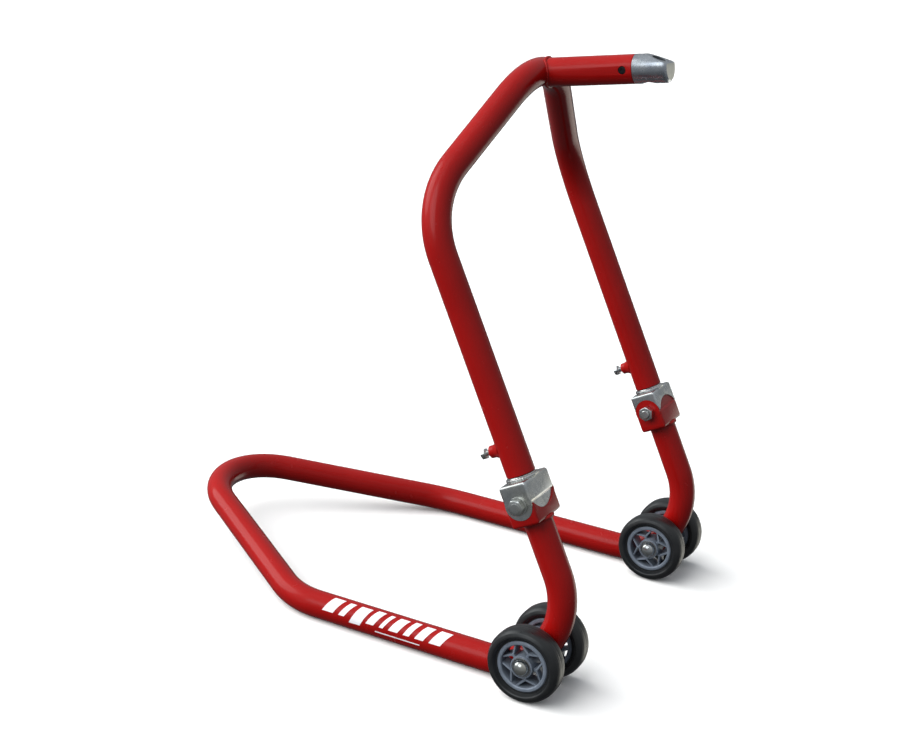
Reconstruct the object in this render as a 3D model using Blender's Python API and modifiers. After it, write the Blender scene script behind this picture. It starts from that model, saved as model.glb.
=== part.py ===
"""Paddock stand for the front of a motorcycle, lifting it by the steering head.

A U-shaped base of bent tube rolls on two pairs of wheels. Each end of it turns up beside its wheels
and carries a bolted two-part bracket. An inner tube stands on each bracket, and the legs of the upper
frame slide on the inner tubes, so the lifting head can be set higher and locked with a screw in each leg.

Frame: metres, +Z up, +Y from the handle to the lifting head, +X to the right.
The origin is on the floor, in the middle of the stand's footprint.
"""

import math

import bmesh
import bpy
from mathutils import Matrix, Vector

# ---- driving dimensions ------------------------------------------------------------------------------

GAP = 0.0003                # between pieces that touch
TUBE_R = 0.019              # 38 mm frame tube
TUBE_WALL = 0.0025
TUBE_SIDES = 20
HOLLOW_SIDES = 12           # where nothing slides inside the tube
BEND_STEP = 14.0            # degrees of bend for each ring of a bent tube
ROUND = 24                  # sides of a wheel
SMALL_ROUND = 16            # sides of a small turned piece
HALF_TRACK = 0.2235         # from the middle to a leg's centre line
LEAN = math.radians(27.5)   # the legs lean back

# Base: one tube, given by the corners of its centre line and their bend radii.
AXLE_Z = 0.050
ARM_FRONT_Z = 0.0202
ARM_REAR_Z = 0.0190
LOWER_BEND_R = 0.098
LOWER_BEND_Y = -0.0727      # centre of the lower bend, measured from the axle
KINK_Y = -0.3694
KINK_R = 0.121
HANDLE_Y = -0.7264          # where the two converging runs would meet
HANDLE_Z = 0.0865
HANDLE_R = 0.103

# Upper frame: the same tube, leg to leg over the top.
SHOULDER_Z = 0.5997
SHOULDER_R = 0.119
APEX_Y = -0.1619
APEX_Z = 0.7854
APEX_R = 0.116

# Lifting head.
HEAD_SLOPE = math.atan(0.16)
HEAD_REF_Y = -0.140         # a point on the head tube's axis
HEAD_REF_Z = 0.7533
HEAD_TUBE_START = -0.0320    # from that point, along the axis
HEAD_TUBE_END = 0.1020
TIP_LENGTH = 0.0462
TIP_EDGE = 0.0035           # rounding of the nose
SPIGOT_R = 0.0162
SPIGOT_LENGTH = 0.036
PIN_BORE_R = 0.009
PIN_BORE_TILT = math.radians(14.0)
PIN_BORE_AT = 0.0255        # along the tip, where the bore crosses its axis
FLAT_START = 0.0150         # along the tip, where the milled flat begins
TIP_SCREW_AT = -0.0127      # from the end of the head tube
TIP_SCREW_R = 0.0050
TIP_SCREW_SINK = 0.0010     # the screw's end lies this far below the tube's surface

# Brackets, measured up the leg from the foot of its straight part.
BRACKET_MID = 0.102
BRACKET_HALF_H = 0.028
BRACKET_HALF_X = 0.034
BRACKET_HALF_Y = 0.0195
PLATE = 0.0035
SIDE_TAB_R = 0.0188
FRONT_TAB_HALF = 0.0295
FRONT_TAB_H = 0.0160
TAB_ROOT = 0.0040           # how far a tab runs on past the parting plane
BRACKET_EDGE_R = 0.003
BOLT_R = 0.006
BOLT_HEAD_AF = 0.019
BOLT_HEAD_H = 0.0075
NUT_H = 0.010
BOLT_END = 0.003            # bolt showing past the nut
WASHER_R = 0.012
WASHER_T = 0.0022
WELD_H = 0.0045
WELD_R = 0.0215

# Height adjustment.
INNER_TUBE_R = 0.016
INNER_TUBE_WALL = 0.0025
INNER_TUBE_TOP = 0.330
LEG_END = 0.1352
LOCK_AT = 0.171
LOCK_R = 0.004
LOCK_HEAD_AF = 0.013
LOCK_HEAD_H = 0.0055
LOCK_HEAD_FROM = 0.0375     # from the leg's axis to the underside of the head
BOSS_R = 0.0085
BOSS_START = 0.0150
BOSS_END = 0.0300

# Wheels.
WHEEL_R = 0.050
WHEEL_HALF_W = 0.0165
WHEEL_OFFSET = 0.0387
RIM_R = 0.0345
RIM_RING_R = 0.0290
RIM_HALF_W = 0.0125
HUB_R = 0.0150
SPOKE_HALF_W = 0.0095
HUB_HALF_W = 0.0140
BEARING_R = 0.0130
BEARING_W = 0.008
AXLE_R = 0.005
SLEEVE_R = 0.010
CAP_R = 0.0105
CAP_H = 0.0090
CAP_BRIM = 0.0015
CAP_SOCKET = 0.0045
AXLE_END = 0.0040           # how far the axle reaches into the cap's socket
SPOKES = 5
WINDOW_INNER_R = 0.0165     # the holes between and in the forked spokes
FORK_INNER_R = 0.0205
WINDOW_OUTER_R = 0.0285
WINDOW_HALF_ANGLE = 0.34
FORK_HALF_ANGLE = 0.17
WINDOW_FOOT = 0.75          # a window's width at the hub, as a share of its angle at the ring
ROLLED = {"right_outer": 53.0, "right_inner": 26.0, "left_inner": 27.0, "left_outer": 2.0}   # degrees

RED = (0.55, 0.012, 0.010)
ZINC = (0.62, 0.63, 0.64)
RUBBER = (0.012, 0.013, 0.014)
RIM_GREY = (0.19, 0.22, 0.26)
STEEL = (0.55, 0.56, 0.58)

PARTS = "paddock_stand"
CUTTERS = "cutters"
SIDES = {"right": 1, "left": -1}


# ---- scene, materials and helpers --------------------------------------------------------------------

def clear_scene():
    for obj in list(bpy.data.objects):
        bpy.data.objects.remove(obj, do_unlink=True)


def collection(name):
    group = bpy.data.collections.get(name)
    if group is None:
        group = bpy.data.collections.new(name)
        bpy.context.scene.collection.children.link(group)
    return group


def material(name, colour, roughness, metallic):
    mat = bpy.data.materials.get(name)
    if mat is None:
        mat = bpy.data.materials.new(name)
        mat.use_nodes = True
        shader = mat.node_tree.nodes["Principled BSDF"]
        shader.inputs["Base Color"].default_value = (*colour, 1.0)
        shader.inputs["Roughness"].default_value = roughness
        shader.inputs["Metallic"].default_value = metallic
    return mat


def red_paint():
    return material("red_paint", RED, 0.25, 0.0)


def zinc():
    return material("zinc_plate", ZINC, 0.25, 1.0)


def steel():
    return material("bearing_steel", STEEL, 0.3, 1.0)


def tyre_rubber():
    return material("tyre_rubber", RUBBER, 0.5, 0.0)


def rim_plastic():
    return material("rim_plastic", RIM_GREY, 0.4, 0.0)


def add_object(name, data, group):
    obj = bpy.data.objects.new(name, data)
    collection(group).objects.link(obj)
    if group == CUTTERS:
        obj.hide_render = True
        obj.display_type = "WIRE"
    return obj


def finish(obj, mat, smooth_angle=40.0):
    obj.data.materials.clear()
    obj.data.materials.append(mat)
    obj.data.shade_smooth()
    obj.data.set_sharp_from_angle(angle=math.radians(smooth_angle))
    return obj


def place(obj, matrix):
    obj.matrix_world = matrix
    return obj


def mesh_of(obj):
    """A curve's mesh, welded at its caps, as a new object in the same place."""
    bpy.context.view_layer.update()
    graph = bpy.context.evaluated_depsgraph_get()
    mesh = bpy.data.meshes.new_from_object(obj.evaluated_get(graph))
    shape = bmesh.new()
    shape.from_mesh(mesh)
    bmesh.ops.remove_doubles(shape, verts=shape.verts, dist=0.00001)
    bmesh.ops.recalc_face_normals(shape, faces=shape.faces)
    shape.to_mesh(mesh)
    shape.free()
    name = obj.name
    group = obj.users_collection[0].name
    matrix = obj.matrix_world.copy()
    bpy.data.objects.remove(obj, do_unlink=True)
    solid = add_object(name, mesh, group)
    solid.matrix_world = matrix
    return solid


def box(name, low, high, group=PARTS):
    """A box between two corners, in the object's own space."""
    low = Vector(low)
    high = Vector(high)
    shape = bmesh.new()
    bmesh.ops.create_cube(shape, size=1.0)
    bmesh.ops.scale(shape, vec=high - low, verts=shape.verts)
    bmesh.ops.translate(shape, vec=(low + high) / 2, verts=shape.verts)
    mesh = bpy.data.meshes.new(name)
    shape.to_mesh(mesh)
    shape.free()
    return add_object(name, mesh, group)


def rod(name, radius, start, end, sides=SMALL_ROUND, group=PARTS, axis="Z"):
    """A cylinder or prism from start to end along one axis of the object's own space."""
    shape = bmesh.new()
    bmesh.ops.create_cone(shape, cap_ends=True, segments=sides, radius1=radius, radius2=radius,
                          depth=end - start)
    bmesh.ops.translate(shape, vec=(0, 0, (start + end) / 2), verts=shape.verts)
    if axis == "X":
        bmesh.ops.rotate(shape, verts=shape.verts, matrix=Matrix.Rotation(math.pi / 2, 3, "Y"))
    if axis == "Y":
        bmesh.ops.rotate(shape, verts=shape.verts, matrix=Matrix.Rotation(-math.pi / 2, 3, "X"))
    mesh = bpy.data.meshes.new(name)
    shape.to_mesh(mesh)
    shape.free()
    return add_object(name, mesh, group)


def slab(name, outline, half_depth):
    """A cutter with a flat outline in its XY plane, as thick as asked on each side of it."""
    curve = bpy.data.curves.new(name, "CURVE")
    curve.dimensions = "2D"
    curve.fill_mode = "BOTH"
    curve.extrude = half_depth
    spline = curve.splines.new("POLY")
    spline.points.add(len(outline) - 1)
    for target, (x, y) in zip(spline.points, outline):
        target.co = (x, y, 0, 1)
    spline.use_cyclic_u = True
    return mesh_of(add_object(name, curve, CUTTERS))


def turned(name, profile, steps, closed=False, group=PARTS):
    """Profile points (radius, height), from the top down the outer side, turned about Z."""
    mesh = bpy.data.meshes.new(name)
    points = [(r, 0.0, z) for r, z in profile]
    edges = [(i, i + 1) for i in range(len(points) - 1)]
    if closed:
        edges.append((len(points) - 1, 0))
    mesh.from_pydata(points, edges, [])
    obj = add_object(name, mesh, group)
    screw = obj.modifiers.new("Turn", "SCREW")
    screw.axis = "Z"
    screw.steps = steps
    screw.render_steps = steps
    screw.use_merge_vertices = True
    screw.merge_threshold = 0.00001
    return obj


def combine(obj, other, operation):
    step = obj.modifiers.new(operation.title(), "BOOLEAN")
    step.object = other
    step.operation = operation
    step.solver = "EXACT"


def cut(obj, *cutters):
    for cutter in cutters:
        combine(obj, cutter, "DIFFERENCE")


def join(obj, *others):
    for other in others:
        combine(obj, other, "UNION")


def bake(obj):
    """Apply an object's modifiers into its mesh."""
    bpy.context.view_layer.update()
    graph = bpy.context.evaluated_depsgraph_get()
    mesh = bpy.data.meshes.new_from_object(obj.evaluated_get(graph))
    obj.modifiers.clear()
    obj.data = mesh
    return obj


# ---- paths of the bent tubes -------------------------------------------------------------------------

def rounded_path(corners, radii):
    """Points along straight runs joined by arcs: one radius for each inner corner."""
    points = [corners[0]]
    for before, corner, after, radius in zip(corners, corners[1:], corners[2:], radii):
        to_before = (before - corner).normalized()
        to_after = (after - corner).normalized()
        inside = to_before.angle(to_after)
        turn = math.pi - inside
        start = corner + to_before * radius / math.tan(inside / 2)
        centre = corner + (to_before + to_after).normalized() * radius / math.sin(inside / 2)
        axis = (start - centre).cross(-to_before).normalized()
        steps = max(3, round(math.degrees(turn) / BEND_STEP))
        for i in range(steps + 1):
            points.append(centre + Matrix.Rotation(turn * i / steps, 3, axis) @ (start - centre))
    points.append(corners[-1])
    return points


def tube(name, points, radius, group=PARTS, sides=TUBE_SIDES):
    """A solid bent rod: a swept circle with filled caps."""
    curve = bpy.data.curves.new(name, "CURVE")
    curve.dimensions = "3D"
    curve.bevel_depth = radius
    curve.bevel_resolution = (sides - 4) // 2
    curve.use_fill_caps = True
    spline = curve.splines.new("POLY")
    spline.points.add(len(points) - 1)
    for target, point in zip(spline.points, points):
        target.co = (*point, 1.0)
    return mesh_of(add_object(name, curve, group))


def mirrored(corners):
    """The corners of one side, followed by the same corners on the other side."""
    other = [Vector((-c.x, c.y, c.z)) for c in reversed(corners) if c.x]
    return corners + other


def longer(points, by):
    """The same path, run on past both ends."""
    first = points[0] + (points[0] - points[1]).normalized() * by
    last = points[-1] + (points[-1] - points[-2]).normalized() * by
    return [first] + points[1:-1] + [last]


LEG_UP = Vector((0, -math.sin(LEAN), math.cos(LEAN)))
LEG_OUT = Vector((0, math.cos(LEAN), math.sin(LEAN)))
FOOT = (Vector((HALF_TRACK, LOWER_BEND_Y, ARM_FRONT_Z + LOWER_BEND_R)) + LEG_OUT * LOWER_BEND_R)


def leg_point(along):
    """A point on the right leg's centre line, by its distance up the leg."""
    return FOOT + LEG_UP * along


def base_path():
    lower_corner = leg_point((ARM_FRONT_Z - FOOT.z) / LEG_UP.z)
    top = leg_point(BRACKET_MID - BRACKET_HALF_H - GAP)
    kink = Vector((HALF_TRACK, KINK_Y, ARM_REAR_Z))
    handle = Vector((0, HANDLE_Y, HANDLE_Z))
    radii = [LOWER_BEND_R, KINK_R, HANDLE_R, KINK_R, LOWER_BEND_R]
    return rounded_path(mirrored([top, lower_corner, kink, handle]), radii)


def upper_path():
    shoulder = leg_point((SHOULDER_Z - FOOT.z) / LEG_UP.z)
    apex = Vector((0, APEX_Y, APEX_Z))
    radii = [SHOULDER_R, APEX_R, SHOULDER_R]
    return rounded_path(mirrored([leg_point(LEG_END), shoulder, apex]), radii)


# The handle reaches furthest back and the wheels furthest forward: the origin is halfway between.
BACK_Y = min(point.y for point in base_path()) - TUBE_R
SHIFT = Matrix.Translation((0, -(BACK_Y + WHEEL_R) / 2, 0))


def leg_frame(side, along, half_turn=True):
    """Axes at a height on a leg: Z up the leg, X outboard and Y forward on the right leg.

    The left leg's pieces are the right leg's, turned half round the leg, unless half_turn is off.
    """
    point = leg_point(along)
    point.x *= SIDES[side]
    turn = math.pi if half_turn and side == "left" else 0.0
    return SHIFT @ Matrix.Translation(point) @ Matrix.Rotation(LEAN, 4, "X") @ Matrix.Rotation(turn, 4, "Z")


def wheel_frame(side, offset):
    """Axes on an axle: Z along +X, the axle's direction."""
    centre = Vector((SIDES[side] * HALF_TRACK + offset, 0, AXLE_Z))
    return SHIFT @ Matrix.Translation(centre) @ Matrix.Rotation(math.pi / 2, 4, "Y")


def head_frame(along):
    """Axes on the head tube: Z forward along the tube, Y up, X to the left."""
    forward = Vector((0, math.cos(HEAD_SLOPE), math.sin(HEAD_SLOPE)))
    point = Vector((0, HEAD_REF_Y, HEAD_REF_Z)) + forward * along
    spin = Matrix(((-1, 0, 0), (0, 0, 1), (0, 1, 0))).to_4x4()
    return SHIFT @ Matrix.Translation(point) @ Matrix.Rotation(HEAD_SLOPE, 4, "X") @ spin


# ---- base --------------------------------------------------------------------------------------------

def base_frame():
    path = base_path()
    frame = place(tube("base_frame", path, TUBE_R), SHIFT)
    hollow = tube("base_hollow", longer(path, 0.01), TUBE_R - TUBE_WALL, CUTTERS, HOLLOW_SIDES)
    place(hollow, SHIFT)
    cut(frame, hollow)
    for side in SIDES:
        hole = rod(f"sleeve_hole_{side}", SLEEVE_R + GAP, -0.03, 0.03, SMALL_ROUND, CUTTERS)
        cut(frame, place(hole, wheel_frame(side, 0)))
    return finish(frame, red_paint())


def axle_set(side):
    """The sleeve welded through the tube's bend, the axle in it and the cap on each end."""
    reach = WHEEL_OFFSET - HUB_HALF_W - GAP
    sleeve_profile = [(AXLE_R + GAP, reach), (SLEEVE_R, reach), (SLEEVE_R, -reach), (AXLE_R + GAP, -reach)]
    sleeve = turned(f"axle_sleeve_{side}", sleeve_profile, SMALL_ROUND, closed=True)
    finish(place(sleeve, wheel_frame(side, 0)), red_paint())
    half = WHEEL_OFFSET + HUB_HALF_W + AXLE_END
    axle = rod(f"axle_{side}", AXLE_R, -half, half)
    finish(place(axle, wheel_frame(side, 0)), zinc())
    for where, direction in (("outer", SIDES[side]), ("inner", -SIDES[side])):
        cap(f"axle_cap_{side}_{where}", side, direction)


def cap(name, side, direction):
    """A pressed cap over the axle's end: a dome with a socket in its flat side."""
    bore = AXLE_R + GAP
    dome = [(0.0, CAP_H)]
    for i in range(1, 4):
        angle = i * math.pi / 6
        dome.append((CAP_R * math.sin(angle), CAP_BRIM + (CAP_H - CAP_BRIM) * math.cos(angle)))
    profile = dome + [(CAP_R, 0.0), (bore, 0.0), (bore, CAP_SOCKET), (0.0, CAP_SOCKET)]
    shape = turned(name, profile, SMALL_ROUND)
    frame = wheel_frame(side, direction * (WHEEL_OFFSET + HUB_HALF_W + GAP))
    flip = Matrix.Rotation(math.pi if direction < 0 else 0.0, 4, "X")
    return finish(place(shape, frame @ flip), zinc())


# ---- wheels ------------------------------------------------------------------------------------------

def tyre(name, frame):
    inner = RIM_R + GAP
    side = RIM_HALF_W
    crown = WHEEL_HALF_W
    profile = [
        (inner, side), (0.0400, crown), (0.0465, crown - 0.003), (WHEEL_R, 0.0060),
        (WHEEL_R, -0.0060), (0.0465, 0.003 - crown), (0.0400, -crown), (inner, -side),
    ]
    return finish(place(turned(name, profile, ROUND, closed=True), frame), tyre_rubber())


def window(name, centre_angle, half_angle, inner_r, inner_angles):
    """A hole in the wheel's centre: its ring side is wide, its hub side has one or two corners."""
    corners = [(WINDOW_OUTER_R, half_angle * i) for i in (-1, 0, 1)]
    corners += [(inner_r, angle) for angle in inner_angles]
    outline = [(r * math.cos(centre_angle + a), r * math.sin(centre_angle + a)) for r, a in corners]
    return slab(name, outline, WHEEL_R)


def rim_shape():
    """The wheel's centre: a ring and a hub joined by five forked spokes."""
    bore = BEARING_R + GAP
    profile = [
        (bore, HUB_HALF_W), (HUB_R, HUB_HALF_W), (HUB_R, SPOKE_HALF_W), (RIM_RING_R, SPOKE_HALF_W),
        (RIM_RING_R, RIM_HALF_W), (RIM_R, RIM_HALF_W), (RIM_R, -RIM_HALF_W), (RIM_RING_R, -RIM_HALF_W),
        (RIM_RING_R, -SPOKE_HALF_W), (HUB_R, -SPOKE_HALF_W), (HUB_R, -HUB_HALF_W), (bore, -HUB_HALF_W),
    ]
    shape = turned("rim_shape", profile, ROUND, closed=True)
    step = 2 * math.pi / SPOKES
    foot = WINDOW_HALF_ANGLE * WINDOW_FOOT
    for i in range(SPOKES):
        between = window(f"window_{i}", i * step, WINDOW_HALF_ANGLE, WINDOW_INNER_R, (foot, -foot))
        fork = window(f"fork_{i}", (i + 0.5) * step, FORK_HALF_ANGLE, FORK_INNER_R, (0.0,))
        cut(shape, between, fork)
    bake(shape)
    mesh = shape.data
    bpy.data.objects.remove(shape, do_unlink=True)
    return mesh


def wheel(side, where, mesh):
    direction = SIDES[side] if where == "outer" else -SIDES[side]
    frame = wheel_frame(side, direction * WHEEL_OFFSET)
    label = f"{side}_{where}"
    tyre(f"tyre_{label}", frame)
    turned_frame = frame @ Matrix.Rotation(math.radians(ROLLED[label]), 4, "Z")
    finish(place(add_object(f"rim_{label}", mesh.copy(), PARTS), turned_frame), rim_plastic())
    for end, face in (("outside", direction), ("inside", -direction)):
        bearing(f"bearing_{label}_{end}", frame, face)


def bearing(name, frame, face):
    inner = AXLE_R + GAP
    top = HUB_HALF_W * face
    bottom = (HUB_HALF_W - BEARING_W) * face
    high, low = max(top, bottom), min(top, bottom)
    profile = [(inner, high), (BEARING_R, high), (BEARING_R, low), (inner, low)]
    return finish(place(turned(name, profile, SMALL_ROUND, closed=True), frame), steel())


# ---- brackets ----------------------------------------------------------------------------------------

def bracket_shape(name, plate_hole):
    """One half of a bracket, as the upper one on the right leg: Z runs up from the parting plane.

    It is a pressed box, open below, with a round tab down its outboard side, a tab set in behind the
    other half's front wall, and notches where the other half's tabs come up.
    """
    x, y, h, t = BRACKET_HALF_X, BRACKET_HALF_Y, BRACKET_HALF_H, PLATE
    shape = box(name, (-x, -y, GAP / 2), (x, y, h))
    bevel = shape.modifiers.new("Edges", "BEVEL")
    bevel.width = BRACKET_EDGE_R
    bevel.segments = 1
    bevel.limit_method = "WEIGHT"
    weights = shape.data.attributes.new("bevel_weight_edge", "FLOAT", "EDGE")
    for edge in shape.data.edges:
        ends = [shape.data.vertices[i].co.z for i in edge.vertices]
        weights.data[edge.index].value = 1.0 if max(ends) > h / 2 else 0.0
    bake(shape)
    cut(shape, box(f"{name}_inside", (t - x, t - y, -0.01), (x - t, y - t, h - t), CUTTERS))
    side_tab = rod(f"{name}_side_tab", SIDE_TAB_R, x - t, x, ROUND, CUTTERS, axis="X")
    front_tab = segment_plate(f"{name}_front_tab", FRONT_TAB_HALF, FRONT_TAB_H, t)
    front_tab.matrix_world = Matrix.Translation((0, y - t - GAP, 0))
    bridge = box(f"{name}_bridge", (-FRONT_TAB_HALF, y - 2 * t - GAP, GAP / 2),
                 (FRONT_TAB_HALF, y - t / 2, 1.5 * TAB_ROOT), CUTTERS)
    notch = rod(f"{name}_side_notch", SIDE_TAB_R + GAP, -x - 0.01, GAP + t - x, ROUND, CUTTERS, axis="X")
    back_notch = segment_plate(f"{name}_back_notch", FRONT_TAB_HALF, FRONT_TAB_H, t + TAB_ROOT)
    through = Matrix.Translation((0, t + TAB_ROOT / 2 - y, 0))
    back_notch.matrix_world = through @ Matrix.Rotation(math.pi, 4, "Y")
    bolt_hole = rod(f"{name}_bolt_hole", BOLT_R + GAP, -0.05, 0.05, SMALL_ROUND, CUTTERS, axis="X")
    cut(shape, notch, back_notch)
    join(shape, side_tab, bridge, front_tab)
    cut(shape, bolt_hole)
    if plate_hole:
        add_weld(shape, name, h)
    bake(shape)
    mesh = shape.data
    bpy.data.objects.remove(shape, do_unlink=True)
    return mesh


def segment_plate(name, half_chord, height, thickness):
    """A plate with a circular-segment outline hanging below z = 0; its front face is at y = 0."""
    radius = (half_chord ** 2 + height ** 2) / (2 * height)
    half_angle = math.asin(half_chord / radius)
    steps = 8
    outline = []
    for i in range(steps + 1):
        angle = -half_angle + 2 * half_angle * i / steps
        outline.append((radius * math.sin(angle), radius - height - radius * math.cos(angle)))
    outline += [(half_chord, TAB_ROOT), (-half_chord, TAB_ROOT)]
    plate = slab(name, outline, thickness / 2)
    plate.data.transform(Matrix.Translation((0, -thickness / 2, 0)) @ Matrix.Rotation(math.pi / 2, 4, "X"))
    return plate


def add_weld(shape, name, height):
    """The hole in the plate for the inner tube, and the weld bead around it."""
    bead_profile = [
        (INNER_TUBE_R + GAP, height + WELD_H), (INNER_TUBE_R + 0.0015, height + WELD_H),
        (INNER_TUBE_R + 0.003, height + 0.0018), (WELD_R, height - 0.001), (INNER_TUBE_R + GAP, height - 0.001),
    ]
    bead = turned(f"{name}_bead", bead_profile, TUBE_SIDES, closed=True, group=CUTTERS)
    hole = rod(f"{name}_tube_hole", INNER_TUBE_R + GAP, height - 0.01, height + 0.01, TUBE_SIDES, CUTTERS)
    cut(shape, hole)
    join(shape, bead)


def brackets():
    upper = bracket_shape("upper_half", plate_hole=True)
    lower = bracket_shape("lower_half", plate_hole=False)
    lower.transform(Matrix.Scale(-1, 4))
    lower.flip_normals()
    for side in SIDES:
        frame = leg_frame(side, BRACKET_MID)
        finish(place(add_object(f"upper_bracket_{side}", upper.copy(), PARTS), frame), zinc())
        finish(place(add_object(f"lower_bracket_{side}", lower.copy(), PARTS), frame), red_paint())
        clamp_fasteners(side, frame)


def clamp_fasteners(side, frame):
    """The bolt through both halves, with its head outboard, and the nut inboard."""
    seat = BRACKET_HALF_X + GAP
    head_start = seat + WASHER_T + GAP
    tip = -(seat + NUT_H + BOLT_END)
    head_r = BOLT_HEAD_AF / 2 / math.cos(math.pi / 6)
    bolt = rod(f"clamp_bolt_{side}", BOLT_R, tip, head_start + 0.001, axis="X")
    head = rod(f"clamp_head_{side}", head_r, head_start, head_start + BOLT_HEAD_H, 6, CUTTERS, axis="X")
    join(bolt, place(head, frame))
    finish(place(bolt, frame), zinc())
    washer_profile = [(BOLT_R + GAP, WASHER_T), (WASHER_R, WASHER_T), (WASHER_R, 0.0), (BOLT_R + GAP, 0.0)]
    washer = turned(f"clamp_washer_{side}", washer_profile, SMALL_ROUND, closed=True)
    along_x = Matrix.Rotation(math.pi / 2, 4, "Y")
    finish(place(washer, frame @ Matrix.Translation((seat, 0, 0)) @ along_x), zinc())
    nut = rod(f"clamp_nut_{side}", head_r, -seat - NUT_H, -seat, 6, axis="X")
    thread = rod(f"clamp_nut_thread_{side}", BOLT_R + GAP, -0.08, 0.0, SMALL_ROUND, CUTTERS, axis="X")
    cut(nut, place(thread, frame))
    finish(place(nut, frame), zinc())


def inner_tube(side):
    """The tube that stands on the upper bracket and guides the leg."""
    bottom = BRACKET_MID + BRACKET_HALF_H - PLATE
    length = INNER_TUBE_TOP - bottom
    bore = INNER_TUBE_R - INNER_TUBE_WALL
    profile = [(bore, length), (INNER_TUBE_R, length), (INNER_TUBE_R, 0.0), (bore, 0.0)]
    shape = turned(f"inner_tube_{side}", profile, TUBE_SIDES, closed=True)
    return finish(place(shape, leg_frame(side, bottom)), zinc())


# ---- upper frame -------------------------------------------------------------------------------------

def upper_frame():
    path = upper_path()
    frame = place(tube("upper_frame", path, TUBE_R), SHIFT)
    hollow = place(tube("upper_hollow", longer(path, 0.01), TUBE_R - TUBE_WALL, CUTTERS), SHIFT)
    cut(frame, hollow)
    for side in SIDES:
        hole = rod(f"lock_hole_{side}", LOCK_R + GAP, -0.03, 0.0, SMALL_ROUND, CUTTERS, axis="Y")
        cut(frame, place(hole, leg_frame(side, LOCK_AT, half_turn=False)))
    return finish(frame, red_paint())


def head():
    """The tube welded to the top of the frame, coped to fit it, and the tip screwed into its end."""
    apex_tube = place(tube("apex_cope", upper_path(), TUBE_R + GAP, CUTTERS), SHIFT)
    bore = TUBE_R - TUBE_WALL
    length = HEAD_TUBE_END - HEAD_TUBE_START
    profile = [(bore, length), (TUBE_R, length), (TUBE_R, 0.0), (bore, 0.0)]
    pipe = turned("head_tube", profile, TUBE_SIDES, closed=True)
    place(pipe, head_frame(HEAD_TUBE_START))
    screw_hole = rod("tip_screw_hole", TIP_SCREW_R + GAP, -0.03, 0.0, SMALL_ROUND, CUTTERS, axis="X")
    place(screw_hole, head_frame(HEAD_TUBE_END + TIP_SCREW_AT))
    cut(pipe, apex_tube, screw_hole)
    finish(pipe, red_paint())
    head_tip()
    screw = rod("head_tip_screw", TIP_SCREW_R, TIP_SCREW_SINK - TUBE_R, -SPIGOT_R - GAP, axis="X")
    finish(place(screw, head_frame(HEAD_TUBE_END + TIP_SCREW_AT)), steel())


def head_tip():
    """The turned tip: a spigot inside the tube, and a nose with the pin bore and the milled flat."""
    edge = TIP_EDGE
    chamfer = TUBE_R - SPIGOT_R
    profile = [
        (0.0, TIP_LENGTH), (TUBE_R - edge, TIP_LENGTH), (TUBE_R - 0.25 * edge, TIP_LENGTH - 0.6 * edge),
        (TUBE_R, TIP_LENGTH - 1.4 * edge), (TUBE_R, GAP), (SPIGOT_R, GAP),
        (SPIGOT_R, chamfer - SPIGOT_LENGTH), (SPIGOT_R - chamfer, -SPIGOT_LENGTH), (0.0, -SPIGOT_LENGTH),
    ]
    tip = turned("head_tip", profile, ROUND)
    frame = head_frame(HEAD_TUBE_END)
    place(tip, frame)
    lean = PIN_BORE_TILT + HEAD_SLOPE
    bore_axes = frame @ Matrix.Translation((0, 0, PIN_BORE_AT)) @ Matrix.Rotation(lean, 4, "X")
    bore = rod("pin_bore", PIN_BORE_R, -0.04, 0.04, ROUND, CUTTERS, axis="Y")
    place(bore, bore_axes)
    above = box("flat_cut", (-0.03, 0.0, 0.0), (0.03, 0.03, 0.06), CUTTERS)
    corner = Matrix.Translation((0, TUBE_R, FLAT_START))
    place(above, frame @ corner @ Matrix.Rotation(lean, 4, "X"))
    cut(tip, above, bore)
    return finish(tip, zinc())


def lock(side):
    """The welded boss behind a leg and the screw in it that bears on the inner tube."""
    frame = leg_frame(side, LOCK_AT, half_turn=False)
    boss = rod(f"lock_boss_{side}", BOSS_R, -BOSS_END, -BOSS_START, axis="Y")
    bore = rod(f"lock_boss_bore_{side}", LOCK_R + GAP, -0.05, 0.0, SMALL_ROUND, CUTTERS, axis="Y")
    leg = rod(f"lock_boss_leg_{side}", TUBE_R + GAP, -0.03, 0.03, 2 * TUBE_SIDES, CUTTERS)
    cut(boss, place(leg, frame), place(bore, frame))
    finish(place(boss, frame), red_paint())
    tip = INNER_TUBE_R + GAP
    screw = rod(f"lock_screw_{side}", LOCK_R, -LOCK_HEAD_FROM - 0.001, -tip, axis="Y")
    head_r = LOCK_HEAD_AF / 2 / math.cos(math.pi / 6)
    hex_head = rod(f"lock_head_{side}", head_r, -LOCK_HEAD_FROM - LOCK_HEAD_H, -LOCK_HEAD_FROM, 6,
                   CUTTERS, axis="Y")
    join(screw, place(hex_head, frame))
    finish(place(screw, frame), zinc())


# ---- the stand ---------------------------------------------------------------------------------------

def build():
    clear_scene()
    base_frame()
    rim = rim_shape()
    brackets()
    for side in SIDES:
        axle_set(side)
        for where in ("outer", "inner"):
            wheel(side, where, rim)
        inner_tube(side)
        lock(side)
    upper_frame()
    head()


build()
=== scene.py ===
"""Looks for the paddock stand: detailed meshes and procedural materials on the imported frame.

Metres, +Z up, +Y from the handle to the lifting head, +X to the right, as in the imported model.
Places along a leg count up its axis from where the lower bend ends, and places along the head count
forward from HEAD_REF. The tip's places count forward from the head tube's end.
"""

import math

import bmesh
import bpy
from mathutils import Matrix, Vector


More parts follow.
